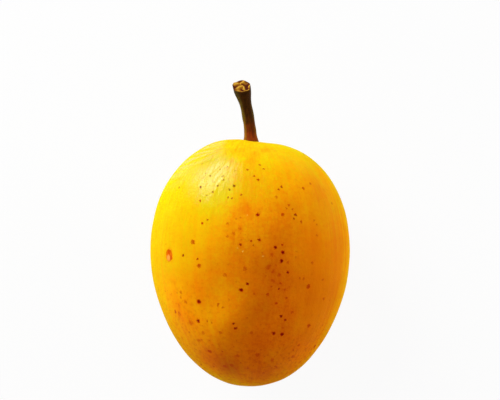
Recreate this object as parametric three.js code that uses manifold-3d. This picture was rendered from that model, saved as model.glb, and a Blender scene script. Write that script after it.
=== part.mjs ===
// A ripe mango with its woody stalk, lying on one cheek on a level surface.
//
// Two solids: the fruit, which grew as one piece and stays whole, and the stalk, whose foot sits in a shallow
// socket at the fruit's stem end. Both are modelled in the growth frame: +Y from the tip to the stem end, +X across
// the cheeks, +Z out of the upper cheek, with the origin halfway along the fruit. The lying group then leans and
// lifts that frame, so that the small flat under the lower cheek is on z = 0 and its centre is the part's origin.

import * as THREE from "three";
import { mergeVertices } from "three/addons/utils/BufferGeometryUtils.js";
import Module from "manifold-3d";

// ---- Driving dimensions: millimetres and degrees ----

// The fruit's outline, seen on its cheek: one arc from the stem end to the broadest place, one on to the tip.
const LENGTH = 105;
const WIDTH = 84.5;
const BROADEST_Y = 5.2;
const SHOULDER_FULLNESS = { across: 0.78, along: 0.4 }; // how far each arc keeps to its corner, as a share
const TIP_FULLNESS = { across: 0.635, along: 0.42 };

// Thickness through the cheeks, as a share of the width at the same place: more at the stem end than at the tip.
const CHEEK_RATIO = 0.87;
const CHEEK_TAPER = 0.05;

// The stem end: a dimple round the stalk, and one shoulder that stands higher than the other.
const DIMPLE = { x: 1.7, depth: 1.8, reach: 8.5 };
const SHOULDER = { slope: 0.097, reach: 19 };

// Soft swellings and hollows of the upper cheek: centre, heading in degrees from +X, half lengths along and across
// that heading, and height. They fade in between two heights above the middle of the fruit's thickness.
const SWELLINGS = [
  { x: 2, y: 6, heading: 40, along: 12, across: 10, height: 1.1 },
  { x: 4, y: 16, heading: 20, along: 12, across: 10, height: 0.65 },
  { x: -15, y: -31, heading: 20, along: 13, across: 11, height: 1.75 },
  { x: -4, y: -20, heading: 45, along: 15, across: 7, height: 0.75 },
  { x: -10, y: -3, heading: 35, along: 17, across: 8, height: -0.4 },
  { x: -25, y: 4, heading: 95, along: 13, across: 10, height: -0.95 },
  { x: 18, y: -13, heading: 95, along: 14, across: 11, height: -1.15 },
  { x: -12, y: 27, heading: 0, along: 10, across: 8, height: -0.7 },
];
const UPPER_CHEEK_Z = { from: 2, to: 14 };

// How the fruit lies: the stem end leans up a little, and the lower cheek is flattened where it rests.
const LEAN = 6;
const FLAT_DEPTH = 0.9;

// The stalk: its centreline from the foot in the socket to the cut end, and its radius along that line.
const STALK_LINE = [
  [0.45, 49.6, 0],
  [-0.15, 58.5, 0.2],
  [-0.45, 61, 1.2],
  [-3.6, 74, 5.4],
];
const STALK_RADIUS = { neck: 2.48, foot: 0.9, cut: 1.3 }; // foot and cut add to the neck's radius at the ends
const STALK_FLARE = { foot: 0.14, cut: 0.13 }; // how much of the length each flare takes
const CUT_SLANT = { back: 25, side: 7 }; // how far the cut leans from square: towards the back and to +X
const SOCKET_GAP = 0.3;

// Mesh fineness.
const FRUIT_SIDES = 64;
const FRUIT_RINGS = 44;
const STALK_SIDES = 24;
const STALK_RINGS = 22;

// ---- Shape of the fruit ----

const HALF = LENGTH / 2;

// One quarter-like arc of the outline, from a point on the axis to the broadest place.
function outlineArc(endY, fullness) {
  const rise = endY - BROADEST_Y;
  return new THREE.CubicBezierCurve(
    new THREE.Vector2(0, endY),
    new THREE.Vector2((fullness.across * WIDTH) / 2, endY),
    new THREE.Vector2(WIDTH / 2, BROADEST_Y + fullness.along * rise),
    new THREE.Vector2(WIDTH / 2, BROADEST_Y),
  );
}

const SHOULDER_ARC = outlineArc(HALF, SHOULDER_FULLNESS);
const TIP_ARC = outlineArc(-HALF, TIP_FULLNESS);

// The outline's half width and height above the middle, for an angle of 0 at the stem end to pi at the tip.
function outlineAt(angle) {
  const share = angle / (Math.PI / 2);
  return share <= 1 ? SHOULDER_ARC.getPoint(share) : TIP_ARC.getPoint(2 - share);
}

const bell = (distance, reach) => Math.exp(-((distance / reach) ** 2));

// How much higher the swellings make the upper cheek at a point of the plain skin.
function swell(x, y, z) {
  let height = 0;
  for (const swelling of SWELLINGS) {
    const turn = THREE.MathUtils.degToRad(swelling.heading);
    const [dx, dy] = [x - swelling.x, y - swelling.y];
    const along = (dx * Math.cos(turn) + dy * Math.sin(turn)) / swelling.along;
    const across = (dy * Math.cos(turn) - dx * Math.sin(turn)) / swelling.across;
    height += swelling.height * Math.exp(-(along ** 2) - across ** 2);
  }
  return height * THREE.MathUtils.smoothstep(z, UPPER_CHEEK_Z.from, UPPER_CHEEK_Z.to);
}

// A point of the skin, for an angle down from the stem end and an angle around the axis.
function skinPoint(angle, around) {
  const { x: halfWidth, y: plainY } = outlineAt(angle);
  const halfThickness = halfWidth * (CHEEK_RATIO + (CHEEK_TAPER * plainY) / HALF);
  const x = halfWidth * Math.cos(around);
  const z = halfThickness * Math.sin(around);
  let y = plainY;
  if (plainY >= BROADEST_Y) {
    y -= DIMPLE.depth * bell(Math.hypot(x - DIMPLE.x, z), DIMPLE.reach);
    y -= SHOULDER.slope * x * bell(Math.hypot(x, z), SHOULDER.reach);
  }
  return new THREE.Vector3(x, y, z + swell(x, y, z));
}

// The whole skin: a sphere, poles on Y, with each of its points moved out to the fruit's own skin.
function skinGeometry() {
  const sphere = new THREE.SphereGeometry(1, FRUIT_SIDES, FRUIT_RINGS);
  const place = sphere.getAttribute("position");
  const direction = new THREE.Vector3();
  for (let i = 0; i < place.count; i++) {
    direction.fromBufferAttribute(place, i);
    const angle = Math.acos(THREE.MathUtils.clamp(direction.y, -1, 1));
    place.setXYZ(i, ...skinPoint(angle, Math.atan2(direction.z, direction.x)));
  }
  return sphere;
}

// ---- Shape of the stalk ----

const STALK_CURVE = new THREE.CubicBezierCurve3(...STALK_LINE.map((point) => new THREE.Vector3(...point)));

const BACK_SLOPE = Math.tan(THREE.MathUtils.degToRad(CUT_SLANT.back));
const SIDE_SLOPE = Math.tan(THREE.MathUtils.degToRad(CUT_SLANT.side));

// The stalk, or with a gap the slightly larger plug that cuts its socket.
function stalkGeometry(gap = 0) {
  const tube = new THREE.CylinderGeometry(1, 1, 1, STALK_SIDES, STALK_RINGS);
  const place = tube.getAttribute("position");
  const local = new THREE.Vector3();
  for (let i = 0; i < place.count; i++) {
    local.fromBufferAttribute(place, i);
    const share = THREE.MathUtils.clamp(local.y + 0.5, 0, 1);
    const radius =
      gap +
      STALK_RADIUS.neck +
      STALK_RADIUS.foot * bell(share, STALK_FLARE.foot) +
      STALK_RADIUS.cut * bell(1 - share, STALK_FLARE.cut);
    const along = STALK_CURVE.getTangent(share);
    const side = along.clone().cross(new THREE.Vector3(0, 0, 1)).normalize();
    const up = side.clone().cross(along);
    const slant = -(local.z * BACK_SLOPE + local.x * SIDE_SLOPE) * radius * share ** 6;
    const point = STALK_CURVE.getPoint(share)
      .addScaledVector(side, local.x * radius)
      .addScaledVector(up, local.z * radius)
      .addScaledVector(along, slant - gap * (1 - share));
    place.setXYZ(i, ...point);
  }
  return tube;
}

// ---- Solids ----

const wasm = await Module();
wasm.setup();

function toSolid(geometry) {
  const bare = new THREE.BufferGeometry()
    .setAttribute("position", geometry.getAttribute("position"))
    .setIndex(geometry.getIndex());
  const merged = mergeVertices(bare, 1e-4);
  return new wasm.Manifold(
    new wasm.Mesh({
      numProp: 3,
      vertProperties: merged.getAttribute("position").array,
      triVerts: new Uint32Array(merged.getIndex().array),
    }),
  );
}

function toGeometry(solid) {
  const { vertProperties, triVerts } = solid.getMesh();
  const geometry = new THREE.BufferGeometry()
    .setAttribute("position", new THREE.BufferAttribute(vertProperties, 3))
    .setIndex(new THREE.BufferAttribute(triVerts, 1));
  geometry.computeVertexNormals();
  return geometry;
}

// ---- Laying the fruit down ----

const lying = new THREE.Group();
lying.rotation.x = THREE.MathUtils.degToRad(LEAN);
lying.updateMatrixWorld(true);

// The lowest point of the leaning skin, which lies in the fruit's own plane of symmetry.
function lowestPoint() {
  const steps = 1800;
  let lowest = new THREE.Vector3(0, 0, Infinity);
  for (let step = 0; step <= steps; step++) {
    const point = skinPoint((Math.PI * step) / steps, -Math.PI / 2).applyMatrix4(lying.matrixWorld);
    if (point.z < lowest.z) lowest = point;
  }
  return lowest;
}

// That point goes to the origin, and then sinks by the depth of the flat.
const lowest = lowestPoint();
lying.position.set(0, -lowest.y, -lowest.z - FLAT_DEPTH);
lying.updateMatrixWorld(true);

// The level surface, as a block that takes the flat off the lower cheek.
function surfaceBlock() {
  const block = new THREE.BoxGeometry(2 * WIDTH, 2 * LENGTH, WIDTH).translate(0, 0, -WIDTH / 2);
  return block.applyMatrix4(lying.matrixWorld.clone().invert());
}

const fruitSolid = toSolid(skinGeometry())
  .subtract(toSolid(surfaceBlock()))
  .subtract(toSolid(stalkGeometry(SOCKET_GAP)));

const fruit = new THREE.Mesh(
  toGeometry(fruitSolid),
  new THREE.MeshStandardMaterial({ color: 0xf09a12, roughness: 0.42, metalness: 0 }),
);
fruit.name = "fruit";

const stalk = new THREE.Mesh(
  stalkGeometry(),
  new THREE.MeshStandardMaterial({ color: 0x4a3312, roughness: 0.7, metalness: 0 }),
);
stalk.name = "stalk";

lying.add(fruit, stalk);

const mango = new THREE.Group();
mango.name = "mango";
mango.add(lying);

export default mango;
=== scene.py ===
"""Looks of a ripe mango lying on one cheek: its skin, its woody stalk, the floor, the lamps and the camera.

Shapes are worked out in millimetres in the growth frame, and leaned and lifted into the row frame in metres.
In the growth frame +Y runs from the tip to the stem end, +X across the cheeks and +Z out of the upper cheek,
and the origin is halfway along the fruit.
"""
import math

import bpy
import numpy as np
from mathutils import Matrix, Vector


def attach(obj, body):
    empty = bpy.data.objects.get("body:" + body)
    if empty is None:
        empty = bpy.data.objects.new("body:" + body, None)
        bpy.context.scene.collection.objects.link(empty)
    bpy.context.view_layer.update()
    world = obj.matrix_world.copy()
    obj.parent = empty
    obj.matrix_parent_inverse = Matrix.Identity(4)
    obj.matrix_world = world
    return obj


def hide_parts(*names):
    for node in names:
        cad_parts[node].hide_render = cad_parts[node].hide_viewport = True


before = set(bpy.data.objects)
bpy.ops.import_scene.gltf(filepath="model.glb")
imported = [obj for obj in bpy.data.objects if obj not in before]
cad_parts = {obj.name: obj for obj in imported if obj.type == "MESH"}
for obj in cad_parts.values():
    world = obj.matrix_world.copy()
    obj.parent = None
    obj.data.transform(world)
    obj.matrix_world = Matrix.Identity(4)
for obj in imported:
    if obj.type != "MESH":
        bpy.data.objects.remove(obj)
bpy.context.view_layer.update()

METRES = 0.001

# ---- The fruit and stalk, as in the CAD source: millimetres and radians ----
LENGTH = 105.0
HALF = LENGTH / 2
WIDTH = 84.5
BROADEST_Y = 5.2
SHOULDER_FULLNESS = {"across": 0.78, "along": 0.4}
TIP_FULLNESS = {"across": 0.635, "along": 0.42}
CHEEK_RATIO = 0.87
CHEEK_TAPER = 0.05
DIMPLE = {"x": 1.7, "depth": 1.8, "reach": 8.5}
SHOULDER = {"slope": 0.097, "reach": 19.0}
LEAN = math.radians(6)
FLAT_DEPTH = 0.9
STALK_LINE = ((0.45, 49.6, 0.0), (-0.15, 58.5, 0.2), (-0.45, 61.0, 1.2), (-3.6, 74.0, 5.4))
STALK_RADIUS = {"neck": 2.48, "foot": 0.9, "cut": 1.3}
STALK_FLARE = {"foot": 0.14, "cut": 0.13}
CUT_SLANT = {"back": math.radians(25), "side": math.radians(7)}

# Soft swellings and hollows of the upper cheek: x, y, heading in degrees from +X, half lengths along and
# across that heading, and height. They fade in between two heights above the middle of the fruit.
SWELLINGS = (
    (2, 6, 40, 12, 10, 1.1), (4, 16, 20, 12, 10, 0.65), (-15, -31, 20, 13, 11, 1.75),
    (-4, -20, 45, 15, 7, 0.75), (-10, -3, 35, 17, 8, -0.4), (-25, 4, 95, 13, 10, -0.95),
    (18, -13, 95, 14, 11, -1.15), (-12, 27, 0, 10, 8, -0.7),
)
UPPER_CHEEK_Z = (2.0, 14.0)

# ---- Low relief of the skin: millimetres ----
# Small waves: height, wavelength and seed.
SKIN_WAVES = ((0.12, 38, 11), (0.05, 13, 12))

# Shallow ribs that fan out from the stem end: how many go round, phase and height.
RIBS = ((3, 0.4, 0.14), (5, 1.9, 0.09), (8, 3.0, 0.05))
RIB_REACH = {"start": 2.0, "full": 6.0, "fade": 30.0}

# A healed scar on the left of the cheek: a shallow pit with a raised heart. The heart's place and both
# reaches are shares of the pit's half lengths.
SCAR = {"place": (-33.0, 3.9), "half": (2.3, 3.0), "depth": 0.3, "heart": (-0.2, -0.35), "rise": 0.35}
SCAR_PIT_REACH = 0.8
SCAR_HEART_REACH = 0.4
SCAR_FARTHEST = 8.0

# How softly the skin bends into the flat that it rests on.
FLAT_SOFTNESS = 0.3

# ---- Spots on the skin ----
# Spots of the upper cheek, in the growth frame: x, y and radius in millimetres.
DARK_SPOTS = (
    (-20.5, -14.5, 0.66), (-21, -22.5, 0.62), (-3.5, -9.5, 0.53), (-1, -7, 0.42), (3, 20.5, 0.48),
    (10, -8.5, 0.55), (11.4, -9, 0.35), (9.5, -27.5, 0.48), (13, -28, 0.5), (-6.5, -23.3, 0.5),
    (-5.9, -24.9, 0.5), (12.5, -20.5, 0.4), (14.2, -22, 0.35), (10, 7.5, 0.47), (13, 5.5, 0.5),
    (12.5, 2, 0.53), (15, -2.5, 0.38), (18, 20.2, 0.5), (17.4, 19, 0.35), (11.6, 30.7, 0.35),
    (12.6, 31.6, 0.35), (-6.5, 32, 0.4), (-8.2, 30.5, 0.3), (-18, 37, 0.28), (-20, 31.5, 0.34),
    (-4, 8.5, 0.45), (1.5, 8.5, 0.32), (3.5, 10.5, 0.4), (-27, 4, 0.29), (-21, 2.7, 0.29),
)
BROWN_SPOTS = (
    (-23, 9.5, 0.7), (-20.5, 0, 0.6), (-12.3, -15.7, 0.6), (23.5, -8.5, 0.62), (24, -25, 0.6),
    (27, -34.5, 0.55), (-16.5, -35.5, 0.65), (-17, -22.5, 0.4), (-15.8, -23, 0.3), (-11.2, -16.4, 0.4),
    (15.5, 24, 0.45), (14.6, 23.2, 0.3), (16.8, 22.8, 0.3), (13, 20.5, 0.45), (20.5, 17.5, 0.35),
    (21.5, 31, 0.4), (10.5, -15, 0.35), (14.5, -13, 0.35), (7, -11.4, 0.4), (-30.5, -19.5, 0.5),
)
FAINT_SPOTS = (
    (-29, -20, 0.7), (-24, -23.5, 0.8), (24.5, 33, 0.35), (10.5, 27.5, 0.4), (26, 18, 0.4),
    (27, 16.5, 0.35), (27, 12, 0.35), (33.5, 25, 0.4), (1.5, -11, 0.35), (7.5, -0.5, 0.9), (9, -2, 0.5),
    (20, -5, 0.4), (21.5, -5.2, 0.4), (29.5, -6, 0.4), (9, -6, 0.6), (11.5, -3.5, 0.5), (8.5, 4.5, 0.5),
    (15, 1.5, 0.35), (13.8, -9.5, 0.35), (-10, -3.5, 0.5), (-2, -1, 0.6), (-4, 15, 0.4),
    (-6.5, 13, 0.45), (-5.5, 19, 0.35), (-4, 19.5, 0.3), (-9, 17, 0.35), (-9, 12, 0.35),
    (-10.5, -42, 0.6), (-7.5, -41.5, 0.6), (-1, -42.5, 0.45), (9, -39, 0.5), (-5, -37, 0.5),
    (3, -36.5, 0.6), (17.5, -38, 0.5), (20, -33, 0.4), (-21, -31, 0.6), (-26, -15, 0.5),
    (-28, -11, 0.45), (-19, -27.5, 0.5), (-12, -27, 0.5), (0.5, -27, 0.5), (17, -19, 0.4),
    (30, -14, 0.45), (25, 1, 0.4),
)
SMALL_SPOTS = (
    (-19.5, 41, 0.26), (-17.5, 41.5, 0.21), (-16, 36, 0.26), (-11, 35.7, 0.26), (-10.6, 34.4, 0.26),
    (-13, 32, 0.28), (-15, 29.5, 0.26), (-17.5, 28, 0.26), (-9, 39.5, 0.24), (-29, 31.5, 0.3),
    (-8.7, 27.4, 0.26), (-7.4, 27, 0.26), (-3.5, 28.5, 0.26), (-18.2, 27, 0.26), (-20, 26, 0.3),
    (-1, 38.5, 0.3), (1.5, 36, 0.26), (3.2, 34.5, 0.34), (-19, 17, 0.3), (-17, 18.5, 0.26),
    (4, 40.5, 0.3), (5.5, 39, 0.3), (-6, 38, 0.19), (-12, 38.5, 0.19), (-14.5, 33.5, 0.19),
    (0.5, 10, 0.3), (2.2, 9.3, 0.26), (8.8, -8, 0.36), (12, -7, 0.3), (12.8, 8.5, 0.3),
)
# Painted glints: pale dots that stand in for the glints of small raised lenticels.
PAINTED_GLINT_DOTS = (
    (-5, 7.3, 0.35), (5, 4, 0.3), (-1.2, 20.3, 0.3), (-3, 6, 0.25),
)

# Each kind's darkness of the core, where -1 is a pale core that paints a glint, and strength of the halo.
SPOT_KINDS = (
    (DARK_SPOTS, 1.0, 1.2), (BROWN_SPOTS, 0.2, 0.8), (FAINT_SPOTS, 0.05, 0.55), (SMALL_SPOTS, 0.42, 1.1),
    (PAINTED_GLINT_DOTS, -1.0, 0.0),
)

# Spots by chance on the lower cheek. They keep off both ends, by the cosine of the angle from the stem end,
# and off the line where the fruit is widest, by an angle in radians.
FAR_SPOTS = {"count": 90, "seed": 21, "ends": 0.95, "edge": 0.15}
FAR_RADIUS = {"least": 0.25, "more": 0.55}
FAR_CORES = (0.3, 0.3, 0.6, 1.0)
FAR_HALOS = (0.4, 0.7)

# How far around its centre a spot is drawn: this many radii and a margin in millimetres.
SPOT_REACH = {"radii": 2.5, "margin": 0.9}

# ---- Relief of the stalk ----
# Noise on the bark: radius and length of the tube that it is taken on, height, wavelength and seed.
BARK_LUMPS = (2.2, 9, 0.07, 2.6, 31)
BARK_RIDGES = (6, 5, 0.035, 1.6, 32)
BARK_TORN = (2.2, 9, 0.16, 2.2, 33)
TORN_FROM = 0.9
TORN_DEPTH = 0.05

# Ridges of pale fibre on the cut end: u, w, length, heading in degrees, width, and height in millimetres.
# u runs to the right and w to the far rim, and they, lengths and widths are shares of the radius.
FIBRES = (
    (-0.52, 0.6, 0.34, 22, 0.15, 0.5), (0.16, 0.64, 0.36, 32, 0.14, 0.55),
    (-0.38, -0.08, 0.36, 18, 0.18, 0.6), (0.2, -0.2, 0.3, 76, 0.12, 0.55),
    (-0.02, 0.12, 0.22, -20, 0.11, 0.5), (-0.48, -0.66, 0.26, 60, 0.18, 0.5),
    (0, -0.92, 0.26, -5, 0.1, 0.45), (0.46, -0.74, 0.36, 40, 0.1, 0.45),
    (0.86, -0.05, 0.2, 80, 0.15, 0.5),
)
# Pits between the fibres: u, w and reach.
HOLLOWS = (
    (0.5, -0.32, 0.24), (0.58, 0.12, 0.26), (0, -0.48, 0.16), (-0.76, 0.14, 0.2), (-0.12, 0.36, 0.13),
)
PIT_DEPTH = 0.35
# How much darker the pits are painted: painted shade.
PIT_PAINTED_SHADE = 0.4
CUT_RIM = (0.8, 0.97)
CUT_HOLLOW = 0.6
CUT_TONE = 0.3
# Roughness between the fibres: wavelength and seed, and how much it shifts the hollow and the tone.
CUT_ROUGHNESS = (0.5, 41)
ROUGH_SHIFT = {"hollow": 0.25, "tone": 0.14}
CUT_MIDDLE = 0.02

# ---- Fineness of the meshes and of the noise on them ----
SKIN_SIDE = 128
STALK_SIDES = 96
STALK_RINGS = 200
CUT_RINGS = 22
OUTLINE_STEPS = 2001
LOWEST_STEPS = 1801
WAVES = 24
WAVE_SPREAD = (0.7, 1.5)

# ---- Colours of the skin ----
# From yellow at 0 to the reddest at 1, which is a ripeness of RIPEST.
RIPENESS = (
    (0.0, (0.82, 0.625, 0.002)),
    (0.2, (0.875, 0.505, 0.002)),
    (0.4, (0.92, 0.37, 0.0015)),
    (0.6, (0.91, 0.245, 0.001)),
    (0.8, (0.86, 0.17, 0.001)),
    (1.0, (0.74, 0.105, 0.001)),
)
RIPEST = 1.25

# Smooth steps of ripeness over the fruit: axis, where a step starts and ends, and its two values. In all such
# steps the values are 0 and 1 where none are given.
RIPE_STEPS = (
    ("x", -46, 4, 0.2, 0.62),
    ("x", 6, 36, 0, 0.1),
    ("y", 4, 50, 0, -0.45),
    ("y", 4, -42, 0, 0.26),
)
# An orange blush in the middle of the cheek: its strength and the steps whose product it is.
BLUSH = 0.2
BLUSH_STEPS = (("x", -14, 8), ("x", 34, 12, 0.25, 1), ("y", 34, 10, 0.1, 1))
# The right flank and the tip turn yellow down to the fruit's widest line, and orange again under it.
RIGHT_STEPS = (("x", -4, 14), ("y", 26, -10, 0.45, 1))
TIP_STEPS = (("y", -18, -40), ("x", -24, 0, 0.3, 1))
FLANK_STEPS = (("z", 22, 1, 0, -0.62), ("z", 0, -14, 0, 0.5))
# Noise in the ripeness: size in millimetres, detail and strength. The grain fades towards both sides.
CLOUDS = (26, 2, 0.1)
GRAIN = ((7, 3, 0.1), (2.6, 3, 0.15), (0.9, 3, 0.2))
GRAIN_STEPS = (("x", 14, 26, 1, 0.5), ("x", -8, -22, 1, 0.6))
# Streaks from the stem end to the tip: how crowded round the fruit and along it, detail and strength. The
# fine lines are strongest on the flanks and on the shoulders.
STREAKS = ((14, 14, 2.5), 3, 0.14)
LINES = ((40, 40, 3.5), 2, 0.24)
LINE_STEPS = (("z", 28, 16, 0.3, 1), ("y", 20, 34, 0.3, 0.5))

# Patches of riper or, below 0, greener skin: x and y on the upper cheek, reach and rise in ripeness.
PATCHES = (
    (-2.5, 23.5, 3, 0.3), (6, 47, 1.8, 0.25), (4.5, -31, 4.5, 0.12), (12, -44, 6, -0.06),
    (4, -46, 4, 0.12), (6.5, 42.5, 5, -0.15), (-12, 37, 10, -0.1), (-27, -20, 8, 0.15),
    (10, -5, 9, 0.12), (-14, 28, 9, -0.28), (-13, -41, 8, 0.28), (11, -35, 8, -0.22),
    (20.5, -25, 5, -0.1), (-14, -20, 6, -0.1), (-8, 0, 7, 0.12), (-19, -7, 8, 0.15), (6, -17, 5, 0.08),
    (16, 27.5, 5, 0.08), (1, 42.5, 3.5, 0.14), (-4.5, 22, 4, 0.1), (28, 30, 8, 0.17),
    (1.5, 41, 3.5, 0.14), (0.5, 35, 3, 0.1), (-27, -12, 11, 0.1), (-14, 2, 7, 0.1), (-14, -17, 6, 0.12),
    (-9, 16, 6, 0.1), (26, -25, 11, -0.13), (16, -39, 7, -0.1), (17, 1, 7, -0.1), (2, 11, 5, -0.14),
    (16, 35, 9, 0.12), (-4.7, 46.5, 2.2, 0.25), (-7.2, 42.5, 2, 0.25), (-9.2, 38.5, 2.2, 0.25),
    (1.8, 45, 2.2, 0.2), (-3.5, 42.5, 2.2, -0.2), (-23.6, -17.6, 4, -0.08), (33, -30, 7, -0.08),
    (-13, -46, 5, -0.12), (-31, -15, 5, 0.07), (-8, -25, 4, 0.1), (11.7, 22.2, 2.5, 0.2),
    (16, -13, 4, -0.07), (15.8, -27.4, 5, -0.08), (-15, 41, 9, -0.12), (31, 36, 6, 0.1),
    (3, 50, 5, 0.08), (15.8, 23, 4, 0.07), (10.9, 21.8, 2.5, -0.12), (-31, 34, 6, 0.1),
    (-33, -8, 6, 0.09), (31, 40, 5, 0.1), (33, 33, 9, 0.1), (26, 42, 7, 0.13),
)
PATCH_FADE = 1.6
PATCH_WOBBLE = {"size": 25 / 3, "reach": 6.0}

# Patches of painted light and, below 0, painted shade in the skin's colour: x, y, reach and share of the
# colour.
PAINTED_LIGHT_AND_SHADE = (
    (9.5, -3, 8, -0.1), (5.1, -16, 7, -0.1), (13.3, 12, 6, -0.06), (-8, -42, 6, -0.2),
    (-30, -16, 12, 0.1), (-11.5, -18, 6, 0.11), (-16, 14, 9, 0.07), (20, -38, 6, 0.07),
    (18, 35, 9, 0.05), (13.3, -25, 4, -0.07), (35, -12, 8, -0.05), (-15, 42, 9, -0.12),
    (30.5, 36.5, 7, 0.08), (15.8, 23, 4, -0.05), (-12, -37, 6, -0.05), (-9, -45, 5, -0.05),
    (-33, -14, 8, 0.06), (11, 5, 3.5, -0.05), (-8.8, -12, 4, 0.05), (38, 8, 8, -0.03),
    (32, 33, 8, 0.04), (-9, 27.5, 6, 0.05),
)
# Painted shade darkens the skin towards its widest line and all over the underside. The next row is the
# skin's random tone: size, detail and strength.
PAINTED_RIM_SHADE = ("z", 9, 0, 0, -0.1)
SHADE_NOISE = (5, 3, 0.05)

# Colours of the spots, which are yellower on the left shoulder, and how a spot ends in shares of its radius.
SPOT_COLOURS = {
    "halo": {"usual": (0.60, 0.012, 0.0005), "shoulder": (0.48, 0.20, 0.001)},
    "dark": {"usual": (0.20, 0.001, 0.0005), "shoulder": (0.25, 0.06, 0.001)},
}
SHOULDER_STEPS = (("y", 22, 34), ("x", 0, -7))
# The colour of the painted glints.
PAINTED_GLINT_COLOUR = (1.0, 0.55, 0.08)
LEAST_RADIUS = 0.05
CORE_END = (1.3, 0.75)
HALO_END = (1.75, 0.85)
HALO_MARGIN = 0.1
HALO_NOISE = (0.5, 2)
HALO_RANGE = (0.35, 0.55, 0.5, 1)
FRAYING = {"size": 0.5, "reach": 1.5}

# Freckles by chance, one in each cell: cell and radii in millimetres, shift of the cells, share of colour.
FRECKLES = {
    "tiny": {"cell": 1.4, "radii": (0.15, 0.35), "shift": 8.0, "share": 0.7, "colour": (0.66, 0.03, 0.001)},
    "small": {"cell": 2.4, "radii": (0.25, 0.6), "shift": 3.0, "share": 0.9, "colour": (0.54, 0.01, 0.001)},
}
FRECKLE_END = (1.3, 0.4)
FRECKLE_FAINTNESS = 1.5
MOTTLE = (0.68, 0.085, 0.001)
MOTTLE_NOISE = (1.5, 3)
MOTTLE_RANGE = (0.45, 0.7, 0, 0.5)
# Where freckles crowd: along the middle of the cheek, on its left and round the tip.
CROWD_MIDDLE = (("x", -16, 0, 0, 0.4), ("x", 24, 12), ("y", 28, 12))
CROWD_LEFT = (("x", -8, -22), ("y", -2, -16, 0, 0.5))
CROWD_TIP = (("y", -20, -36),)
CROWD = {"most": 0.8, "least": 0.2}

# The scar's layers: rings as (u, v, far, close) in shares of its half lengths, strength and colour.
SCAR_LAYERS = (
    (((0, 0, 1.5, 0.6),), 0.5, (0.93, 0.30, 0.001)),
    (((0, 0, 1.0, 0.7),), 1.0, (0.76, 0.15, 0.001)),
    (((-0.05, 0.45, 0.45, 0.2), (0.55, -0.35, 0.4, 0.2)), 1.0, (0.68, 0.085, 0.001)),
    # The scar's pale heart: a painted highlight.
    (((*SCAR["heart"], 0.55, 0.25),), 1.0, (1.0, 0.36, 0.055)),
)

# ---- Gloss and fine relief ----
# Pores, and streaks of two widths that are strongest on the shoulders and fade at the stalk's foot.
PORES = (0.8, 3, 0.07)
WIDE_RELIEF = ((10, 10, 9), 2, 0.2)
FINE_RELIEF = ((28, 28, 18), 3, 0.12)
RELIEF_STEPS = (("y", 0, 36, 0.3, 1),)
RELIEF_FROM_STEM = (0.04, 0.15)
FRECKLE_DEPTH = 0.02
CORE_DEPTH = 0.05

# The polished wax on the shoulder left of the stalk: a ragged patch that ends aslant, by x - y, and the
# shoulder's edge. It is worn in streaks that fan out from the stalk's foot, and fades at the rim of any view.
# A thin coat lies everywhere, thicker underneath.
WAX_CENTRE = (-15.5, 35.5)
WAX_REACH = (15.5, 8.0)
WAX_RAGGED = 6.0
WAX_SLANT = (-40.0, -47.0, 0.3, 1)
WAX_EDGE_STEPS = (("x", -9, -13), ("y", 28, 44))
WAX_ABOVE = ("z", -14, -6)
WAX_FACING = (0.9, 0.75)
WAX_FAN = {"foot": (0.5, 51.0, 0.0), "crowd": 34.0, "length": 15.0, "detail": 3}
WAX_WORN = (0.37, 0.6, 0.08, 1.0)
WAX_OFF_SPOTS = 2.5
WAX_THIN = ("z", 0, -12, 0.012, 0.12)

# The skin under the wax is smoother where it faces the viewer than where it turns away.
ROUGHNESS_FACING = (0.35, 0.75, 0.3, 1.0)
ROUGHNESS_NOISE = (3, 3, 0.05)
CORE_ROUGHNESS = 0.2
SKIN_LOOK = {
    "Coat Roughness": 0.2,
    "Specular IOR Level": 0.01,
    "Subsurface Weight": 0.2,
    "Subsurface Radius": (1.0, 0.35, 0.1),
    "Subsurface Scale": 0.005,
}

# ---- Colours of the stalk, from its foot to its cut ----
BARK = (
    (0.0, (0.26, 0.045, 0.003)),
    (0.22, (0.20, 0.028, 0.002)),
    (0.45, (0.095, 0.024, 0.002)),
    (0.7, (0.055, 0.018, 0.002)),
    (1.0, (0.050, 0.016, 0.002)),
)
OLIVE = (
    (0.0, (0.36, 0.12, 0.006)),
    (0.3, (0.27, 0.13, 0.003)),
    (0.6, (0.17, 0.105, 0.004)),
    (1.0, (0.07, 0.050, 0.010)),
)
# The olive shows on the sides, most on the left one, and the cracks are dark.
OLIVE_FROM = (0.45, 1.0)
OLIVE_LEFTWARD = 0.25
CRACK = (0.020, 0.009, 0.003)
CRACK_RANGE = (0.42, 0.7, 0.0, 0.55)
BARK_GRAIN = {"stretch": (1, 0.22, 1), "size": 0.7, "detail": 4}
BARK_PATCHES = (4.0, 3)
TORN_NOISE = (0.45, 3)
# How much the patches, the grain and the torn fibres shift the colour, the relief and the roughness.
PATCH_SHIFT = {"level": 0.12, "side": 0.35, "roughness": 0.1}
GRAIN_SHIFT = {"side": 0.25, "height": 0.05}
TORN_SHIFT = {"tone": 0.1, "height": 0.03}
BARK_ROUGHNESS = 0.65
BARK_SPECULAR = 0.05

# The cut face, from its darkest pits, where shade is painted, to its palest fibres.
CUT_FACE = (
    (0.0, (0.07, 0.006, 0.001)),
    (0.25, (0.13, 0.030, 0.002)),
    (0.5, (0.29, 0.105, 0.005)),
    (0.8, (0.55, 0.28, 0.020)),
    (1.0, (0.68, 0.39, 0.050)),
)

# ---- Camera: millimetres ----
CAMERA_LENS = 100.0
CAMERA_SENSOR = 36.0
CAMERA_AWAY = 588.0
CAMERA_CLIP = 10.0
LOOK_AT = (-0.05, 26.35, 0.0)

# ---- Floor and lamps: metres ----
FLOOR_COLOUR = (0.85, 0.85, 0.84)
FLOOR_GLOW = 0.93
FLOOR_REACH = 2.4
WALL_REACH = 3.2
WALL_HEIGHT = 0.9
FLOOR_SIDES = 64
WALL_RINGS = 12

WHITE = (1, 1, 1)
ROOM_LIGHT = 0.24

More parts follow.
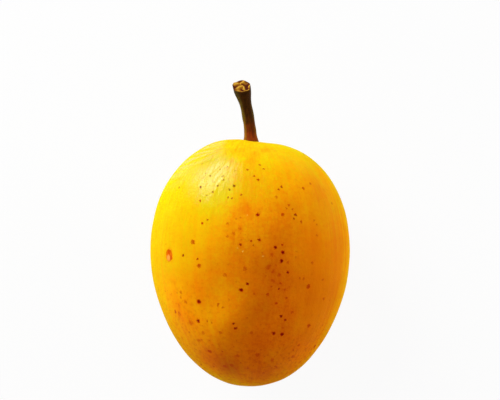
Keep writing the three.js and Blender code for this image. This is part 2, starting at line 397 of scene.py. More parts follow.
# Lamps: name, direction in the growth frame, size, power in watts and kind of light.
LAMP_AWAY = 1.2
LAMPS = (
    ("key", (-0.62, 0.75, 0.2), (0.5, 0.4), 6.0, "diffuse"),
    ("key_spread", (-0.6, 0.58, 0.62), (0.8, 0.6), 8.6, "diffuse"),
    ("right", (0.95, 0.3, 0.2), (0.8, 0.4), 7.4, "diffuse"),
    ("front", (-0.75, -0.6, 0.25), (0.8, 0.5), 2.2, "diffuse"),
    ("front_right", (0.6, -0.8, 0.25), (0.8, 0.5), 1.0, "diffuse"),
    ("sheen", (-0.427, 0.837, 0.342), (0.87, 0.9), 13.5, "glossy"),
)


# ---- Small curve helpers ----
def bezier(points, share):
    """Points of a cubic Bézier curve, one row for each share from 0 to 1."""
    t = np.asarray(share, float)[..., None]
    a, b, c, d = (np.asarray(point, float) for point in points)
    return a * (1 - t) ** 3 + 3 * b * t * (1 - t) ** 2 + 3 * c * t ** 2 * (1 - t) + d * t ** 3


def bezier_slope(points, share):
    """Directions of the same curve, not normalised."""
    t = np.asarray(share, float)[..., None]
    a, b, c, d = (np.asarray(point, float) for point in points)
    return 3 * ((b - a) * (1 - t) ** 2 + 2 * (c - b) * t * (1 - t) + (d - c) * t ** 2)


def bell(distance, reach):
    """1 at no distance, and less and less past the reach."""
    return np.exp(-(np.asarray(distance) / reach) ** 2)


def smooth(low, high, value):
    """A smooth step from 0 to 1 as the value goes from low to high."""
    t = np.clip((np.asarray(value, float) - low) / (high - low), 0, 1)
    return t * t * (3 - 2 * t)


def unit(vectors):
    """The same directions, each of length 1."""
    return vectors / np.maximum(np.linalg.norm(vectors, axis=-1, keepdims=True), 1e-12)


def turned(x, y, heading):
    """The parts of (x, y) along and across a heading in degrees."""
    turn = math.radians(heading)
    return x * math.cos(turn) + y * math.sin(turn), y * math.cos(turn) - x * math.sin(turn)


# ---- The plain skin of the fruit, in the growth frame ----
def outline_arc(end_y, fullness):
    """Control points of one arc of the outline, from the fruit's axis to its broadest place."""
    rise = end_y - BROADEST_Y
    return (
        (0, end_y),
        (fullness["across"] * WIDTH / 2, end_y),
        (WIDTH / 2, BROADEST_Y + fullness["along"] * rise),
        (WIDTH / 2, BROADEST_Y),
    )


def plain_skin(angle, around):
    """Points of the skin, angle away from the stem end and around the fruit's axis, both in radians."""
    share = angle / (math.pi / 2)
    shoulder = bezier(outline_arc(HALF, SHOULDER_FULLNESS), np.minimum(share, 1))
    tip = bezier(outline_arc(-HALF, TIP_FULLNESS), np.minimum(2 - share, 1))
    outline = np.where((share <= 1)[..., None], shoulder, tip)
    half_width, y = outline[..., 0], outline[..., 1]
    half_thickness = half_width * (CHEEK_RATIO + CHEEK_TAPER * y / HALF)
    x = half_width * np.cos(around)
    z = half_thickness * np.sin(around)
    dimple = DIMPLE["depth"] * bell(np.hypot(x - DIMPLE["x"], z), DIMPLE["reach"])
    shoulder_drop = SHOULDER["slope"] * x * bell(np.hypot(x, z), SHOULDER["reach"])
    y = np.where(y < BROADEST_Y, y, y - dimple - shoulder_drop)
    return np.stack([x, y, z], axis=-1)


def upper_cheek(x, y):
    """The point of the plain skin's upper cheek over x and y."""
    angle = np.linspace(0, math.pi, OUTLINE_STEPS)
    edge = plain_skin(angle, np.zeros_like(angle))
    half_width = float(np.interp(-y, -edge[:, 1], edge[:, 0]))
    half_thickness = half_width * (CHEEK_RATIO + CHEEK_TAPER * y / HALF)
    return x, y, half_thickness * math.sqrt(max(0.0, 1 - (x / half_width) ** 2))


# ---- From the growth frame to the row frame ----
def lean(points):
    """Points or directions of the growth frame turned about X so that the stem end rises."""
    points = np.asarray(points, float)
    x, y, z = points[..., 0], points[..., 1], points[..., 2]
    c, s = math.cos(LEAN), math.sin(LEAN)
    return np.stack([x, y * c - z * s, y * s + z * c], axis=-1)


def lowest_point():
    """The lowest point of the leaning plain skin."""
    angle = np.linspace(0, math.pi, LOWEST_STEPS)
    under = lean(plain_skin(angle, np.full_like(angle, -math.pi / 2)))
    return under[np.argmin(under[:, 2])]


LOWEST = lowest_point()
LIFT = np.array([0, -LOWEST[1], -LOWEST[2] - FLAT_DEPTH])


def to_row(points):
    """Growth frame in millimetres to row frame in metres."""
    return (lean(points) + LIFT) * METRES


# ---- Seeded smooth noise on arrays of points ----
def wave_noise(points, wavelength, seed):
    """Smooth noise between about -1 and 1: a sum of plane waves in random directions."""
    rng = np.random.default_rng(seed)
    directions = unit(rng.normal(size=(WAVES, 3)))
    scales = rng.uniform(*WAVE_SPREAD, WAVES) * 2 * math.pi / wavelength
    phases = rng.uniform(0, 2 * math.pi, WAVES)
    total = np.zeros(points.shape[:-1])
    for direction, scale, phase in zip(directions, scales, phases):
        total += np.sin(points @ direction * scale + phase)
    return total / math.sqrt(WAVES)


# ---- Meshes ----
def add_object(name, data):
    thing = bpy.data.objects.new(name, data)
    bpy.context.scene.collection.objects.link(thing)
    return thing


def add_mesh(name, points, faces):
    mesh = bpy.data.meshes.new(name)
    mesh.from_pydata(points.tolist(), [], [list(map(int, face)) for face in faces])
    mesh.update()
    mesh.polygons.foreach_set("use_smooth", [True] * len(mesh.polygons))
    return add_object(name, mesh)


def keep_vectors(piece, name, values):
    """Stores one vector on each vertex of the piece, for its material to read."""
    attribute = piece.data.attributes.new(name, "FLOAT_VECTOR", "POINT")
    attribute.data.foreach_set("vector", np.asarray(values, np.float32).ravel())


def vertex_normals(points, quads):
    corner = points[quads]
    across = np.cross(corner[:, 2] - corner[:, 0], corner[:, 3] - corner[:, 1])
    normals = np.zeros_like(points)
    for column in range(4):
        np.add.at(normals, quads[:, column], across)
    return unit(normals)


def sphere_grid(side):
    """Directions and quads of a cube of side × side faces blown up to a sphere, with shared edges."""
    step = np.tan(np.linspace(-math.pi / 4, math.pi / 4, side + 1))
    u, v = np.meshgrid(step, step, indexing="ij")
    one = np.ones_like(u)
    sheets = ((one, u, v), (-one, v, u), (v, one, u), (u, -one, v), (u, v, one), (v, u, -one))
    directions = np.concatenate([unit(np.stack(sheet, -1)).reshape(-1, 3) for sheet in sheets])
    cells = np.arange((side + 1) ** 2).reshape(side + 1, side + 1)
    quad = np.stack([cells[:-1, :-1], cells[1:, :-1], cells[1:, 1:], cells[:-1, 1:]], -1).reshape(-1, 4)
    quads = np.concatenate([quad + index * (side + 1) ** 2 for index in range(len(sheets))])
    rounded = np.round(directions, 7)
    _, first, inverse = np.unique(rounded, axis=0, return_index=True, return_inverse=True)
    return directions[first], inverse.reshape(-1)[quads]


def ring_faces(rings, sides):
    """Quads between rings of points that follow each other."""
    faces = []
    for ring in range(rings - 1):
        for side in range(sides):
            after = (side + 1) % sides
            a, b = ring * sides + side, ring * sides + after
            faces.append((a, b, b + sides, a + sides))
    return faces


# ---- Spots ----
def all_spots():
    """Centres (x, y, z) and looks (radius, darkness of the core, strength of the halo) of all spots."""
    centres, looks = [], []
    for spots, core, halo in SPOT_KINDS:
        for x, y, radius in spots:
            centres.append(upper_cheek(x, y))
            looks.append((radius, core, halo))
    rng = np.random.default_rng(FAR_SPOTS["seed"])
    for _ in range(FAR_SPOTS["count"]):
        angle = math.acos(rng.uniform(-FAR_SPOTS["ends"], FAR_SPOTS["ends"]))
        around = rng.uniform(-math.pi + FAR_SPOTS["edge"], -FAR_SPOTS["edge"])
        centres.append(tuple(plain_skin(np.array(angle), np.array(around))))
        radius = FAR_RADIUS["least"] + FAR_RADIUS["more"] * rng.random() ** 2
        looks.append((radius, rng.choice(FAR_CORES), rng.uniform(*FAR_HALOS)))
    return np.array(centres), np.array(looks)


def nearest_spots(points, centres):
    """For each point the number of its nearest spot and how far that is."""
    nearest = np.zeros(len(points), int)
    away = np.full(len(points), np.inf)
    for index, centre in enumerate(centres):
        distance = np.linalg.norm(points - centre, axis=1)
        closer = distance < away
        nearest[closer] = index
        away[closer] = distance[closer]
    return nearest, away


def keep_spots(piece, points, quads):
    """Stores on each vertex its nearest spot, so that the material can draw a crisp, round spot there."""
    centres, looks = all_spots()
    nearest, away = nearest_spots(points, centres)
    look = looks[nearest]
    out_of_reach = away > look[:, 0] * SPOT_REACH["radii"] + SPOT_REACH["margin"]
    look[out_of_reach, 1:] = 0
    owners = nearest[quads]
    shared = quads[(owners != owners[:, :1]).any(axis=1)]
    look[shared.ravel(), 1:] = 0
    keep_vectors(piece, "spot_centre", centres[nearest])
    keep_vectors(piece, "spot_look", look)


# ---- Fruit ----
def swell(points):
    """How much higher the swellings make the upper cheek, in millimetres."""
    height = np.zeros(len(points))
    for x, y, heading, length, width, rise in SWELLINGS:
        along, across = turned(points[:, 0] - x, points[:, 1] - y, heading)
        height += rise * np.exp(-(along / length) ** 2 - (across / width) ** 2)
    return height * smooth(*UPPER_CHEEK_Z, points[:, 2])


def shoulder_ribs(points, around):
    """Shallow ribs that fan out from the stem end and fade down the shoulders."""
    away = np.hypot(points[:, 0], points[:, 2])
    ribs = sum(height * np.cos(count * around + phase) for count, phase, height in RIBS)
    near = smooth(RIB_REACH["start"], RIB_REACH["full"], away) * bell(away, RIB_REACH["fade"])
    return ribs * near * (points[:, 1] > 0)


def scar_axes():
    """The scar's centre and its two directions on the skin, each divided by the scar's half length."""
    x, y = SCAR["place"]
    across = unit(np.subtract(upper_cheek(x + 0.5, y), upper_cheek(x - 0.5, y)))
    return np.array(upper_cheek(x, y)), across / SCAR["half"][0], np.array([0, 1, 0]) / SCAR["half"][1]


def scar_relief(points):
    centre, across, along = scar_axes()
    u, v = (points - centre) @ across, (points - centre) @ along
    near = np.linalg.norm(points - centre, axis=1) < SCAR_FARTHEST
    pit = bell(np.hypot(u, v), SCAR_PIT_REACH)
    heart = bell(np.hypot(u - SCAR["heart"][0], v - SCAR["heart"][1]), SCAR_HEART_REACH)
    return near * (SCAR["rise"] * heart - SCAR["depth"] * pit)


def skin_relief(points, around):
    """How far the real skin stands off the plain one, in millimetres."""
    small = sum(height * wave_noise(points, wavelength, seed) for height, wavelength, seed in SKIN_WAVES)
    return small + shoulder_ribs(points, around) + scar_relief(points)


def build_fruit():
    directions, quads = sphere_grid(SKIN_SIDE)
    angle = np.arccos(np.clip(directions[:, 1], -1, 1))
    around = np.arctan2(directions[:, 2], directions[:, 0])
    plain = plain_skin(angle, around)
    real = plain + vertex_normals(plain, quads) * skin_relief(plain, around)[:, None]
    real[:, 2] += swell(plain)
    points = to_row(real)
    softness = FLAT_SOFTNESS * METRES
    points[:, 2] = (points[:, 2] + np.sqrt(points[:, 2] ** 2 + softness ** 2)) / 2
    piece = add_mesh("fruit_skin", points, quads)
    keep_vectors(piece, "growth", plain)
    keep_vectors(piece, "flow", np.stack([np.cos(around), np.sin(around), angle / math.pi], -1))
    keep_spots(piece, plain, quads)
    return piece


# ---- Stalk ----
def stalk_frame(share):
    """Points of the stalk's line and its directions along, to the side and up."""
    centre = bezier(STALK_LINE, share)
    along = unit(bezier_slope(STALK_LINE, share))
    side = unit(np.cross(along, [0, 0, 1.0]))
    up = np.cross(side, along)
    return centre, along, side, up


def stalk_point(share, turn, radius):
    """Points of the stalk at a share of its length, turn around it and radius from its line."""
    centre, along, side, up = stalk_frame(share)
    out_side, out_up = radius * np.cos(turn), radius * np.sin(turn)
    cut_slope = out_up * math.tan(CUT_SLANT["back"]) + out_side * math.tan(CUT_SLANT["side"])
    slant = -cut_slope * share ** 6
    return centre + side * out_side[..., None] + up * out_up[..., None] + along * slant[..., None]


def bark_noise(share, turn, radius, length, height, wavelength, seed):
    """Noise in millimetres on the bark, taken on a tube."""
    place = np.stack([radius * np.cos(turn), share * length, radius * np.sin(turn)], -1)
    return height * wave_noise(place, wavelength, seed)


def bark_relief(share, turn):
    """Ridges along the bark, its swellings and the broken edge of the cut, in millimetres."""
    ridges = bark_noise(share, turn, *BARK_LUMPS) + bark_noise(share, turn, *BARK_RIDGES)
    torn = bark_noise(share, turn, *BARK_TORN) - TORN_DEPTH
    return ridges + smooth(TORN_FROM, 1.0, share) * torn


def bark_radius(share, turn):
    foot = STALK_RADIUS["foot"] * bell(share, STALK_FLARE["foot"])
    cut = STALK_RADIUS["cut"] * bell(1 - share, STALK_FLARE["cut"])
    return STALK_RADIUS["neck"] + foot + cut + bark_relief(share, turn)


def cut_height(u, w):
    """Height of the cut face in millimetres, and how pale it is from 0 to 1, with painted shade in its pits.
    """
    rim = smooth(*CUT_RIM, np.hypot(u, w))
    rough = wave_noise(np.stack([u, w, u * 0], -1), *CUT_ROUGHNESS)
    height = -CUT_HOLLOW * (1 - rim) * (1 - ROUGH_SHIFT["hollow"] + ROUGH_SHIFT["hollow"] * rough)
    pale = CUT_TONE + ROUGH_SHIFT["tone"] * rough
    for centre_u, centre_w, reach in HOLLOWS:
        pit = bell(np.hypot(u - centre_u, w - centre_w), reach)
        height -= PIT_DEPTH * pit
        # Painted shade in the pit.
        pale -= PIT_PAINTED_SHADE * pit
    for centre_u, centre_w, length, heading, width, rise in FIBRES:
        along, across = turned(u - centre_u, w - centre_w, heading)
        ridge = np.exp(-(across / width) ** 2) * np.exp(-(along / length) ** 4)
        height += rise * ridge
        pale += (1 - pale) * ridge
    return height, np.clip(pale, 0, 1)


def bark_rows(turn):
    """Rings of points up the bark, from the foot to the rim of the cut."""
    levels = [np.full_like(turn, share) for share in np.linspace(0, 1, STALK_RINGS)]
    return [stalk_point(level, turn, bark_radius(level, turn)) for level in levels]


def cut_rows(turn):
    """Rings of points from the rim of the cut to its middle, and how pale each of them is."""
    level = np.ones_like(turn)
    rim = bark_radius(level, turn)
    end_along = stalk_frame(np.array([1.0]))[1][0]
    rows, pales = [], []
    for step in range(1, CUT_RINGS + 1):
        part = 1 - step / CUT_RINGS if step < CUT_RINGS else CUT_MIDDLE
        height, pale = cut_height(part * np.cos(turn), -part * np.sin(turn))
        rows.append(stalk_point(level, turn, rim * part) + height[:, None] * end_along)
        pales.append(pale)
    return rows, pales


def stalk_faces(rings):
    """Quads between the rings, and triangles that close the middle of the cut and the foot."""
    faces = ring_faces(rings, STALK_SIDES)
    middle = rings * STALK_SIDES
    last, foot = middle - STALK_SIDES, middle + 1
    for side in range(STALK_SIDES):
        after = (side + 1) % STALK_SIDES
        faces.append((last + side, last + after, middle))
        faces.append((after, side, foot))
    return faces


def keep_stalk_looks(piece, points, turn, pales):
    """Stores where each vertex is on the bark, and on the cut face how pale it is."""
    on_bark = STALK_RINGS * STALK_SIDES
    on_cut = CUT_RINGS * STALK_SIDES + 1
    levels = np.repeat(np.linspace(0, 1, STALK_RINGS), STALK_SIDES)
    share = np.concatenate([levels, np.ones(on_cut), [0]])
    turns = np.concatenate([np.tile(turn, STALK_RINGS + CUT_RINGS), [0, 0]])
    pale = np.concatenate([np.zeros(on_bark), *pales, [pales[-1].mean(), 0]])
    is_cut = np.concatenate([np.zeros(on_bark), np.ones(on_cut), [0]])
    keep_vectors(piece, "growth", points)
    keep_vectors(piece, "bark", np.stack([np.cos(turns), np.sin(turns), share], -1))
    keep_vectors(piece, "cut", np.stack([is_cut, pale, is_cut], -1))


def build_stalk():
    turn = np.linspace(0, 2 * math.pi, STALK_SIDES, endpoint=False)
    cut, pales = cut_rows(turn)
    middle = cut[-1].mean(axis=0)
    foot = bezier(STALK_LINE, 0.0)
    points = np.concatenate([*bark_rows(turn), *cut, [middle, foot]])
    piece = add_mesh("stalk_bark", to_row(points), stalk_faces(STALK_RINGS + CUT_RINGS))
    keep_stalk_looks(piece, points, turn, pales)
    return piece


# ---- Materials ----
class Nodes:
    """Adds nodes to one material or world and links them."""

    def __init__(self, tree):
        self.tree = tree

    def add(self, kind, inputs=None, **settings):
        """A new node, whose kind is given without the leading ShaderNode."""
        node = self.tree.nodes.new("ShaderNode" + kind)
        for name, value in settings.items():
            setattr(node, name, value)
        for key, value in (inputs or {}).items():
            self.put(node.inputs[key], value)
        return node

    def put(self, socket, value):
        """Links another node's output to the socket, or sets a plain value; colours are opaque."""
        if isinstance(value, bpy.types.NodeSocket):
            self.tree.links.new(value, socket)
        elif socket.type == "RGBA":
            socket.default_value = (*value, 1)
        else:
            socket.default_value = value

    def math(self, operation, a, b=0.0, clamp=False):
        return self.add("Math", {0: a, 1: b}, operation=operation, use_clamp=clamp).outputs[0]

    def join(self, operation, terms):
        total, *others = terms
        for term in others:
            total = self.math(operation, total, term)
        return total

    def sum(self, *terms):
        return self.join("ADD", terms)

    def product(self, *terms):
        return self.join("MULTIPLY", terms)

    def highest(self, *terms):
        return self.join("MAXIMUM", terms)

    def vector(self, operation, a, b=(0, 0, 0), output=0):
        return self.add("VectorMath", {0: a, 1: b}, operation=operation).outputs[output]

    def scale(self, vector, factor):
        return self.add("VectorMath", {0: vector, "Scale": factor}, operation="SCALE").outputs[0]

    def distance(self, a, b):
        return self.vector("DISTANCE", a, b, output=1)

    def length(self, vector):
        return self.vector("LENGTH", vector, output=1)

    def span(self, value, low, high, start=0.0, end=1.0):
        """A smooth step of value from low to high, which gives start to end."""
        inputs = {"Value": value, "From Min": low, "From Max": high, "To Min": start, "To Max": end}
        return self.add("MapRange", inputs, interpolation_type="SMOOTHSTEP").outputs[0]

    def mix(self, share, a, b):
        """Colour a where the share is 0 and colour b where it is 1."""
        node = self.add("Mix", data_type="RGBA")
        inputs = {socket.identifier: socket for socket in node.inputs}
        self.put(inputs["Factor_Float"], share)
        self.put(inputs["A_Color"], a)
        self.put(inputs["B_Color"], b)
        return {socket.identifier: socket for socket in node.outputs}["Result_Color"]

    def attribute(self, name):
        return self.add("Attribute", attribute_name=name).outputs["Vector"]

    def split(self, vector):
        return self.add("SeparateXYZ", {0: vector}).outputs

    def noise(self, vector, size, detail):
        """Noise between 0 and 1 whose features are about size across, in the vector's units."""
        return self.add("TexNoise", {"Vector": vector, "Scale": 1 / size, "Detail": detail}).outputs["Fac"]

    def centred(self, value, strength):
        """A 0 to 1 value turned into one between minus and plus strength."""
        return self.math("MULTIPLY", self.math("SUBTRACT", value, 0.5), 2 * strength)

    def ripple(self, vector, size, detail, strength):
        """Noise between minus and plus strength."""
        return self.centred(self.noise(vector, size, detail), strength)

    def streaks(self, flow, crowd, detail, strength):
        """Noise between minus and plus strength, crowded by so much along each axis of the flow."""
        return self.ripple(self.vector("MULTIPLY", flow, crowd), 1.0, detail, strength)

    def wobbled(self, place, size, reach):
        """The place moved by up to half the reach, by noise of the given size, so that edges fray."""
        noise = self.add("TexNoise", {"Vector": place, "Scale": 1 / size, "Detail": 2.0})
        centred = self.vector("SUBTRACT", noise.outputs["Color"], (0.5, 0.5, 0.5))
        return self.vector("ADD", place, self.scale(centred, reach))

    def steps(self, place, rows):
        """One smooth step for each row: axis, where it starts and ends, and its two values."""
        axes = dict(zip("xyz", self.split(place)))
        return [self.span(axes[axis], *limits) for axis, *limits in rows]

    def area(self, place, rows):
        """How much a place is in the area that the rows' steps mark off between them."""
        return self.product(*self.steps(place, rows))

    def ramp(self, value, stops):
        node = self.add("ValToRGB", {0: value})
        elements = node.color_ramp.elements
        while len(elements) < len(stops):
            elements.new(0.5)
        for element, (place, colour) in zip(elements, stops):
            element.position = place
            element.color = (*colour, 1)
        return node.outputs[0]

    def bump(self, height):
        """Normals of a relief in millimetres."""
        return self.add("Bump", {"Height": height, "Distance": METRES}).outputs[0]

    def surface(self, inputs, **settings):
        """Ends a material with its Principled shader."""
        shader = self.add("BsdfPrincipled", inputs, **settings)
        self.add("OutputMaterial", {"Surface": shader.outputs[0]})


def empty_nodes(holder):
    """The nodes of a material or world, with those it came with taken out."""
    holder.use_nodes = True
    holder.node_tree.nodes.clear()
    return Nodes(holder.node_tree)


def new_material(name):
    material = bpy.data.materials.new(name)
    return material, empty_nodes(material)


# ---- Skin ----
def patches(nodes, place, rows):
    """The sum of soft round patches on the upper cheek: x, y, reach and rise."""
    rises = []
    for x, y, reach, rise in rows:
        away = nodes.distance(place, upper_cheek(x, y))
        rises.append(nodes.span(away, reach * PATCH_FADE, 0, 0, rise))
    return nodes.sum(*rises)


def shade(nodes, place):
    """How bright the skin's colour is, about 1: its random tone, patches of painted light and shade, and
    painted shade along its widest line and underneath.
    """
    rim = nodes.steps(place, (PAINTED_RIM_SHADE,))
    return nodes.sum(patches(nodes, place, PAINTED_LIGHT_AND_SHADE), nodes.ripple(place, *SHADE_NOISE), *rim, 1.0)


def ripeness(nodes, place, flow):
    """0 where the skin is yellow, 1 where it is deep orange and RIPEST where it is reddest."""
    flank = nodes.highest(nodes.area(place, RIGHT_STEPS), nodes.area(place, TIP_STEPS))
    grain = nodes.sum(*(nodes.ripple(place, *look) for look in GRAIN))
    return nodes.sum(
        *nodes.steps(place, RIPE_STEPS),
        nodes.product(flank, nodes.sum(*nodes.steps(place, FLANK_STEPS))),
        nodes.product(nodes.area(place, BLUSH_STEPS), BLUSH),
        patches(nodes, nodes.wobbled(place, **PATCH_WOBBLE), PATCHES),
        nodes.ripple(place, *CLOUDS),
        nodes.product(grain, nodes.area(place, GRAIN_STEPS)),
        nodes.streaks(flow, *STREAKS),
        nodes.product(nodes.streaks(flow, *LINES), nodes.highest(*nodes.steps(place, LINE_STEPS))),
    )


def spot_masks(nodes, place):
    """Core, halo and pale masks of the placed spots; the pale mask paints glints."""
    away = nodes.distance(place, nodes.attribute("spot_centre"))
    radius, core, halo = nodes.split(nodes.attribute("spot_look"))
    ratio = nodes.math("DIVIDE", away, nodes.highest(radius, LEAST_RADIUS))
    inside = nodes.span(ratio, *CORE_END)
    patchy = nodes.span(nodes.noise(place, *HALO_NOISE), *HALO_RANGE)
    wide = nodes.math("DIVIDE", away, nodes.sum(radius, HALO_MARGIN))
    around = nodes.product(nodes.span(wide, *HALO_END), patchy)
    dark = nodes.product(inside, nodes.highest(core, 0.0))
    # The pale mask: painted glints.
    pale = nodes.product(inside, nodes.highest(nodes.product(core, -1.0), 0.0))
    return dark, nodes.math("MULTIPLY", around, halo, clamp=True), pale


def freckles(nodes, place, kind):
    """Small dots, about one in each cell and many of them faint."""
    cell, radii, shift = (FRECKLES[kind][key] for key in ("cell", "radii", "shift"))
    shifted = nodes.vector("ADD", place, (shift, shift * 2, shift * 3))
    cells = nodes.add("TexVoronoi", {"Vector": shifted, "Scale": 1 / cell, "Randomness": 1.0})
    chance = nodes.split(cells.outputs["Color"])
    radius = nodes.span(chance[0], 0, 1, radii[0] / cell, radii[1] / cell)
    ratio = nodes.math("DIVIDE", cells.outputs["Distance"], radius)
    return nodes.product(nodes.span(ratio, *FRECKLE_END), nodes.math("POWER", chance[1], FRECKLE_FAINTNESS))


def freckle_crowd(nodes, place):
    """How strong freckles are, from the least everywhere to the most in their crowds."""
    crowds = [nodes.area(place, rows) for rows in (CROWD_MIDDLE, CROWD_LEFT, CROWD_TIP)]
    return nodes.sum(nodes.product(nodes.highest(*crowds), CROWD["most"]), CROWD["least"])


def scar_colour(nodes, place, colour):
    """The colour with the healed scar's glow, pit, darker edges and a painted highlight on its pale heart."""
    centre, across, along = scar_axes()
    from_centre = nodes.vector("SUBTRACT", place, tuple(centre))
    u = nodes.vector("DOT_PRODUCT", from_centre, tuple(across), output=1)
    v = nodes.vector("DOT_PRODUCT", from_centre, tuple(along), output=1)
    spot = nodes.add("CombineXYZ", {0: u, 1: v, 2: 0.0}).outputs[0]
    near = nodes.math("LESS_THAN", nodes.length(from_centre), SCAR_FARTHEST)
    for rings, strength, layer in SCAR_LAYERS:
        masks = [nodes.span(nodes.distance(spot, (u, v, 0)), far, close) for u, v, far, close in rings]
        colour = nodes.mix(nodes.product(nodes.highest(*masks), strength, near), colour, layer)
    return colour


def skin_height(nodes, place, flow):
    """Fine relief in millimetres: pores, and streaks from the stem end to the tip."""
    from_stem = nodes.split(flow)[2]
    fade = nodes.product(nodes.area(place, RELIEF_STEPS), nodes.span(from_stem, *RELIEF_FROM_STEM))
    streaks = nodes.sum(nodes.streaks(flow, *WIDE_RELIEF), nodes.streaks(flow, *FINE_RELIEF))
    return nodes.sum(nodes.ripple(place, *PORES), nodes.product(streaks, fade))


def wax_streaks(nodes, place):
    """Noise between 0 and 1 in streaks that fan out from the stalk's foot."""
    from_foot = nodes.vector("SUBTRACT", place, WAX_FAN["foot"])
    from_foot = nodes.vector("MULTIPLY", from_foot, (1, 1, 0))
    heading = nodes.scale(nodes.vector("NORMALIZE", from_foot), WAX_FAN["crowd"])
    away = nodes.math("DIVIDE", nodes.length(from_foot), WAX_FAN["length"])
    along = nodes.add("CombineXYZ", {2: away}).outputs[0]
    return nodes.noise(nodes.vector("ADD", heading, along), 1.0, WAX_FAN["detail"])


def wax(nodes, place, facing, spots):
    """Weight of the coat: polished wax left of the stalk, off the spots, and a thin coat underneath."""
    x, y, _ = nodes.split(place)
    streak = wax_streaks(nodes, place)
    away = nodes.distance(place, upper_cheek(*WAX_CENTRE))
    shoulder = nodes.span(nodes.sum(away, nodes.centred(streak, WAX_RAGGED)), *WAX_REACH)
    shoulder = nodes.product(shoulder, nodes.span(nodes.math("SUBTRACT", x, y), *WAX_SLANT))
    edge = nodes.area(place, WAX_EDGE_STEPS)
    above, thin = nodes.steps(place, (WAX_ABOVE, WAX_THIN))
    whole = nodes.product(nodes.highest(shoulder, edge), above, nodes.span(facing, *WAX_FACING))
    clear = nodes.math("SUBTRACT", 1.0, nodes.product(spots, WAX_OFF_SPOTS), clamp=True)
    worn = nodes.product(nodes.span(streak, *WAX_WORN), clear)
    return nodes.sum(nodes.product(whole, worn), thin)


def skin_marks(nodes, place, frayed):
    """Masks of the marks on the skin: the spots' cores and halos, the pale dots that paint glints, freckles
    and mottle.
    """
    dark, halo, pale = spot_masks(nodes, frayed)
    crowd = freckle_crowd(nodes, place)
    mottle = nodes.span(nodes.noise(place, *MOTTLE_NOISE), *MOTTLE_RANGE)
    marks = {kind: nodes.product(freckles(nodes, frayed, kind), crowd) for kind in FRECKLES}
    return {**marks, "dark": dark, "halo": halo, "pale": pale, "mottle": nodes.product(mottle, crowd)}


def skin_colour(nodes, place, frayed, flow, marks):
    """The skin's colour: its ripeness with random tone and painted light and shade, and over that the mottle,
    freckles, spots, painted glints and scar.
    """
    ripe = nodes.math("DIVIDE", ripeness(nodes, place, flow), RIPEST)
    # Random tone and painted light and shade scale the colour.
    colour = nodes.scale(nodes.ramp(ripe, RIPENESS), shade(nodes, place))
    on_shoulder = nodes.area(place, SHOULDER_STEPS)
    colour = nodes.mix(marks["mottle"], colour, MOTTLE)
    for kind, look in FRECKLES.items():
        colour = nodes.mix(nodes.product(marks[kind], look["share"]), colour, look["colour"])
    for part, look in SPOT_COLOURS.items():
        colour = nodes.mix(marks[part], colour, nodes.mix(on_shoulder, look["usual"], look["shoulder"]))
    # Painted glints: pale dots laid over the colour.
    colour = nodes.mix(marks["pale"], colour, PAINTED_GLINT_COLOUR)
    return scar_colour(nodes, frayed, colour)


def skin_material():
    material, nodes = new_material("mango_skin")
    place, flow = nodes.attribute("growth"), nodes.attribute("flow")
    frayed = nodes.wobbled(place, **FRAYING)
    marks = skin_marks(nodes, place, frayed)
    height = nodes.sum(
        skin_height(nodes, place, flow),
        nodes.product(marks["small"], -FRECKLE_DEPTH),
        nodes.product(marks["dark"], -CORE_DEPTH),
    )
    bump = nodes.bump(height)
    facing = nodes.add("LayerWeight", {"Blend": 0.5}).outputs["Facing"]
    roughness = nodes.sum(
        nodes.ripple(place, *ROUGHNESS_NOISE),
        nodes.span(facing, *ROUGHNESS_FACING),
        nodes.product(marks["dark"], CORE_ROUGHNESS),
    )
    nodes.surface({
        "Base Color": skin_colour(nodes, place, frayed, flow, marks),
        "Normal": bump,
        "Roughness": roughness,
        "Coat Weight": wax(nodes, place, facing, nodes.highest(marks["dark"], marks["halo"])),
        "Coat Normal": bump,
        **SKIN_LOOK,
    }, distribution="GGX")
    return material


# ---- Bark and cut face ----
def bark_colour(nodes, grain, patch):
    """Reddish at the foot, dark above, olive at the sides and with dark cracks."""
    side, _, share = nodes.split(nodes.attribute("bark"))
    level = nodes.sum(share, nodes.centred(patch, PATCH_SHIFT["level"]))
    sideways = nodes.sum(
        nodes.math("ABSOLUTE", side),
        nodes.product(side, -OLIVE_LEFTWARD),
        nodes.centred(patch, PATCH_SHIFT["side"]),
        nodes.centred(grain, GRAIN_SHIFT["side"]),
    )
    olive = nodes.span(sideways, *OLIVE_FROM)
    colour = nodes.mix(olive, nodes.ramp(level, BARK), nodes.ramp(level, OLIVE))
    return nodes.mix(nodes.span(grain, *CRACK_RANGE), colour, CRACK)


def bark_material():
    material, nodes = new_material("stalk_bark")
    place = nodes.attribute("growth")
    is_cut, pale, _ = nodes.split(nodes.attribute("cut"))
    grain_place = nodes.vector("MULTIPLY", place, BARK_GRAIN["stretch"])
    grain = nodes.noise(grain_place, BARK_GRAIN["size"], BARK_GRAIN["detail"])
    patch = nodes.noise(place, *BARK_PATCHES)
    torn = nodes.noise(place, *TORN_NOISE)
    face = nodes.ramp(nodes.sum(pale, nodes.centred(torn, TORN_SHIFT["tone"])), CUT_FACE)
    height = nodes.sum(nodes.centred(grain, GRAIN_SHIFT["height"]), nodes.centred(torn, TORN_SHIFT["height"]))
    nodes.surface({
        "Base Color": nodes.mix(is_cut, bark_colour(nodes, grain, patch), face),
        "Normal": nodes.bump(height),
        "Roughness": nodes.sum(nodes.centred(patch, PATCH_SHIFT["roughness"]), BARK_ROUGHNESS),
        "Specular IOR Level": BARK_SPECULAR,
    })
    return material


fruit = build_fruit()
fruit.data.materials.append(skin_material())
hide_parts("fruit")
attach(fruit, "root")

stalk = build_stalk()
stalk.data.materials.append(bark_material())
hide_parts("stalk")
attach(stalk, "root")


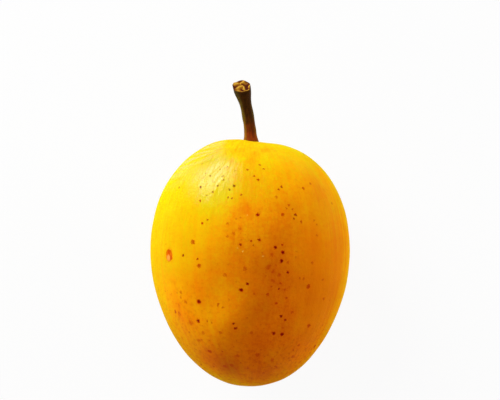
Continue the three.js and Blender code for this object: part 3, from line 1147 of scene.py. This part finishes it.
# ---- Floor, lamps and camera ----
def add_camera():
    """A camera that looks down on the upper cheek, square to the growth frame."""
    data = bpy.data.cameras.new("camera")
    data.lens = CAMERA_LENS
    data.sensor_width = CAMERA_SENSOR
    data.clip_start = CAMERA_CLIP * METRES
    camera = add_object("camera", data)
    camera.location = Vector(to_row(LOOK_AT) + lean((0, 0, 1)) * CAMERA_AWAY * METRES)
    camera.rotation_euler = (LEAN, 0, 0)
    bpy.context.scene.camera = camera


def add_lamp(name, direction, size, power, light):
    """A soft rectangular lamp that is aimed at the middle of the fruit."""
    data = bpy.data.lights.new(name, "AREA")
    data.shape = "RECTANGLE"
    data.size, data.size_y = size
    data.energy = power
    lamp = add_object(name, data)
    target = to_row((0, 0, 0))
    place = target + lean(unit(np.array(direction, float))) * LAMP_AWAY
    lamp.location = Vector(place)
    lamp.rotation_euler = Vector(place - target).to_track_quat("Z", "Y").to_euler()
    lamp.visible_glossy = light == "glossy"
    lamp.visible_diffuse = light == "diffuse"


def floor_material():
    """A pale floor, lit and shaded as any, that also glows for camera, glossy and transmission rays."""
    material, nodes = new_material("floor")
    path = nodes.add("LightPath").outputs
    seen = nodes.highest(path["Is Camera Ray"], path["Is Glossy Ray"], path["Is Transmission Ray"])
    diffuse = nodes.add("BsdfDiffuse", {"Color": FLOOR_COLOUR}).outputs[0]
    glow = nodes.add("Emission", {"Color": WHITE}).outputs[0]
    share = nodes.product(seen, FLOOR_GLOW)
    blend = nodes.add("MixShader", {0: share, 1: diffuse, 2: glow}).outputs[0]
    nodes.add("OutputMaterial", {"Surface": blend})
    return material


def add_floor():
    """A round floor whose edge sweeps up into a low wall, so that it fills the back of every view."""
    turn = np.linspace(0, 2 * math.pi, FLOOR_SIDES, endpoint=False)
    rows = [np.zeros((1, 3))]
    for step in range(WALL_RINGS + 1):
        rise = (math.pi / 2) * step / WALL_RINGS
        reach = FLOOR_REACH + (WALL_REACH - FLOOR_REACH) * math.sin(rise)
        height = WALL_HEIGHT * (1 - math.cos(rise))
        rows.append(np.stack([reach * np.cos(turn), reach * np.sin(turn), np.full_like(turn, height)], -1))
    faces = [tuple(1 + corner for corner in face) for face in ring_faces(WALL_RINGS + 1, FLOOR_SIDES)]
    for side in range(FLOOR_SIDES):
        faces.append((0, 1 + side, 1 + (side + 1) % FLOOR_SIDES))
    floor = add_mesh("floor", np.concatenate(rows), faces)
    floor.data.materials.append(floor_material())


def set_world():
    """An even white room light."""
    world = bpy.data.worlds.new("studio")
    bpy.context.scene.world = world
    nodes = empty_nodes(world)
    room = nodes.add("Background", {"Color": WHITE, "Strength": ROOM_LIGHT}).outputs[0]
    nodes.add("OutputWorld", {"Surface": room})


add_camera()
add_floor()
set_world()
for name, direction, size, power, light in LAMPS:
    add_lamp(name, direction, size, power, light)

bpy.context.scene.view_settings.view_transform = "Standard"
